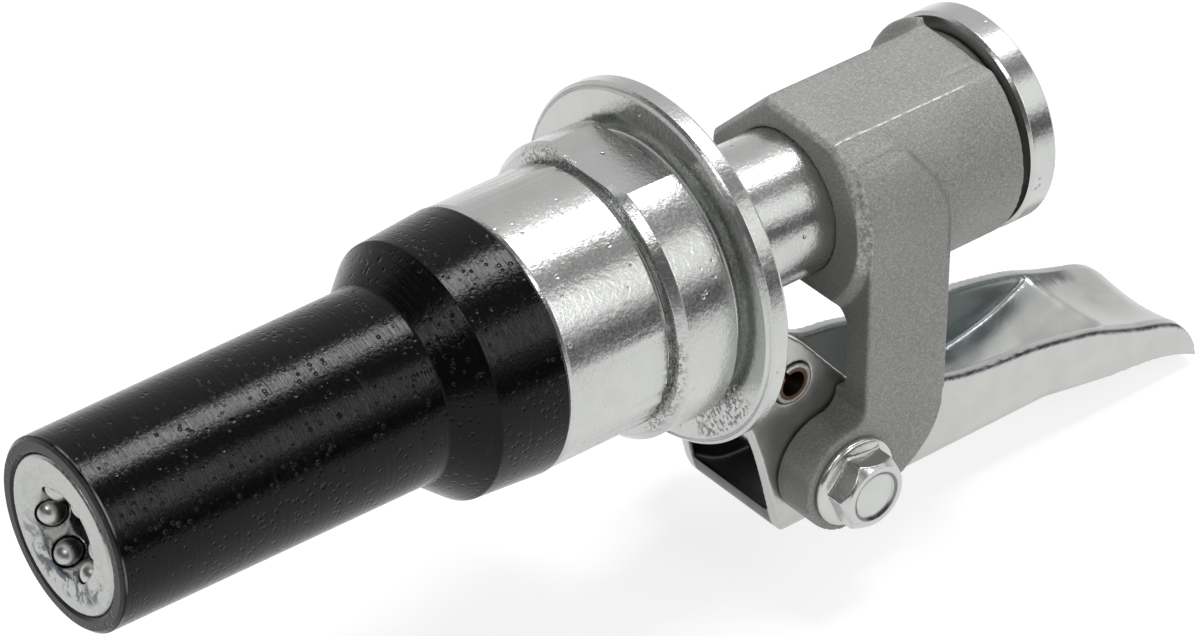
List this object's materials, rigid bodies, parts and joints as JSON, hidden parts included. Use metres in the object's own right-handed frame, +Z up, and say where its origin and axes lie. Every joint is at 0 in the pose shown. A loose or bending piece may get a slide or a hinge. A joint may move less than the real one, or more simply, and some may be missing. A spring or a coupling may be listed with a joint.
{
  "type": "grease coupler",
  "caption": "Lock-on grease coupler: its thumb lever pushes a spring-loaded nose forward, so the ring of balls in the mouth lets go of a grease nipple; threaded inlet at the back.",
  "frame": {"origin": "centre of the nozzle mouth's front face, on the main axis", "axes": "+X from the nozzle mouth to the threaded inlet along the main axis, +Z up, away from the thumb lever; the pivot bolt's head is on the -Y side"},
  "size_m": [0.1435, 0.039, 0.0596],
  "materials": {
    "black_finish": "gloss black oxide",
    "zinc_steel": "zinc plated, turned",
    "zinc_sheet": "bright zinc plated sheet",
    "casting": "blasted casting",
    "pin_steel": "dull spring steel",
    "ball_steel": "polished",
    "spring_steel": "plain wire",
    "seal_rubber": "matte"
  },
  "bodies": {
    "bracket": {"cast_bracket": "casting", "inlet_adapter": "zinc_steel", "stem": "zinc_steel", "pusher_sleeve": "zinc_steel", "nozzle_seal": "seal_rubber", "main_spring": "spring_steel", "check_spring": "spring_steel", "pivot_bolt": "zinc_steel", "pivot_bush": "zinc_steel", "pivot_washer": "zinc_steel", "pivot_nut": "zinc_steel"},
    "lever": {"lever": "zinc_sheet", "cross_pin": "pin_steel"},
    "nose": {"front_sleeve": "black_finish", "nozzle_core": "zinc_steel", "rear_barrel": "zinc_steel"},
    "check_ball": {"check_ball": "ball_steel"},
    "ball_1": {"ball_1": "ball_steel"},
    "ball_2": {"ball_2": "ball_steel"},
    "ball_3": {"ball_3": "ball_steel"},
    "ball_4": {"ball_4": "ball_steel"},
    "ball_5": {"ball_5": "ball_steel"},
    "ball_6": {"ball_6": "ball_steel"}
  },
  "joints": [
    {"name": "lever_hinge", "type": "hinge", "parent": "bracket", "child": "lever", "pos_m": [0.08775, 0, -0.0279], "axis": [0, -1, 0], "range_deg": [0, 13], "stiffness_Nm_per_rad": 0.05, "springref_deg": -22.92},
    {"name": "nose_slide", "type": "slide", "parent": "bracket", "child": "nose", "axis": [-1, 0, 0], "range_m": [0, 0.00354], "stiffness_N_per_m": 10, "springref_m": -0.0035, "deforming": ["main_spring"]},
    {"name": "check_slide", "type": "slide", "parent": "bracket", "child": "check_ball", "axis": [-1, 0, 0], "range_m": [0, 0.002], "stiffness_N_per_m": 100, "springref_m": -0.003, "deforming": ["check_spring"]},
    {"name": "ball_1_slide", "type": "slide", "parent": "nose", "child": "ball_1", "axis": [0, 0.9962, -0.0872], "range_m": [0, 0.0006]},
    {"name": "ball_2_slide", "type": "slide", "parent": "nose", "child": "ball_2", "axis": [0, 0.4226, -0.9063], "range_m": [0, 0.0006]},
    {"name": "ball_3_slide", "type": "slide", "parent": "nose", "child": "ball_3", "axis": [0, -0.5736, -0.8192], "range_m": [0, 0.0006]},
    {"name": "ball_4_slide", "type": "slide", "parent": "nose", "child": "ball_4", "axis": [0, -0.9962, 0.0872], "range_m": [0, 0.0006]},
    {"name": "ball_5_slide", "type": "slide", "parent": "nose", "child": "ball_5", "axis": [0, -0.4226, 0.9063], "range_m": [0, 0.0006]},
    {"name": "ball_6_slide", "type": "slide", "parent": "nose", "child": "ball_6", "axis": [0, 0.5736, 0.8192], "range_m": [0, 0.0006]}
  ],
  "couplings": [
    {"joint": "nose_slide", "follows": "lever_hinge", "m_per_rad": 0.0156},
    {"joint": "ball_1_slide", "follows": "lever_hinge", "m_per_rad": 0.002644},
    {"joint": "ball_2_slide", "follows": "lever_hinge", "m_per_rad": 0.002644},
    {"joint": "ball_3_slide", "follows": "lever_hinge", "m_per_rad": 0.002644},
    {"joint": "ball_4_slide", "follows": "lever_hinge", "m_per_rad": 0.002644},
    {"joint": "ball_5_slide", "follows": "lever_hinge", "m_per_rad": 0.002644},
    {"joint": "ball_6_slide", "follows": "lever_hinge", "m_per_rad": 0.002644}
  ]
}
